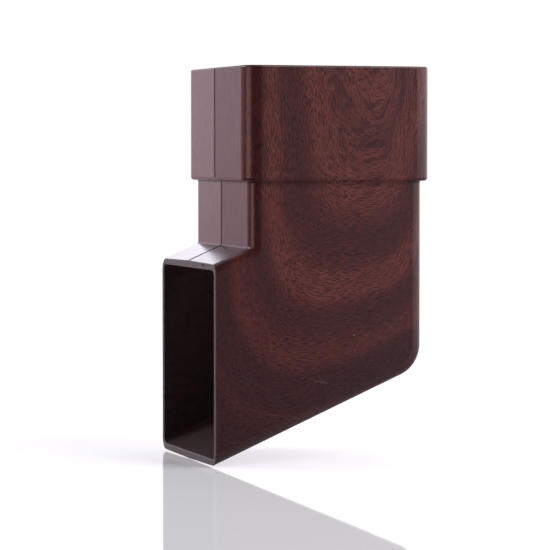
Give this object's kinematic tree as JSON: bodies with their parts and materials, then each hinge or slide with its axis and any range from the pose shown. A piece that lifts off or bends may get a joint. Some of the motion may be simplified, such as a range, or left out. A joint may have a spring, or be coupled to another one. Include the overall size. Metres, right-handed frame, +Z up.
{
  "type": "downpipe shoe",
  "caption": "Moulded shoe for the foot of a square downpipe: a socket takes the pipe, and a sloping spout throws the water clear of the wall.",
  "frame": {"origin": "on the socket axis, at the pipe stop where the square pipe ends", "axes": "+Z up along the socket axis, towards the rim; the outlet faces -X; the XZ plane is the plane of symmetry"},
  "size_m": [0.0811, 0.07, 0.1411],
  "materials": {
    "woodgrain_pvc": "semi-gloss rosewood grain"
  },
  "bodies": {
    "root": {"downpipe_shoe": "woodgrain_pvc"}
  },
  "joints": []
}
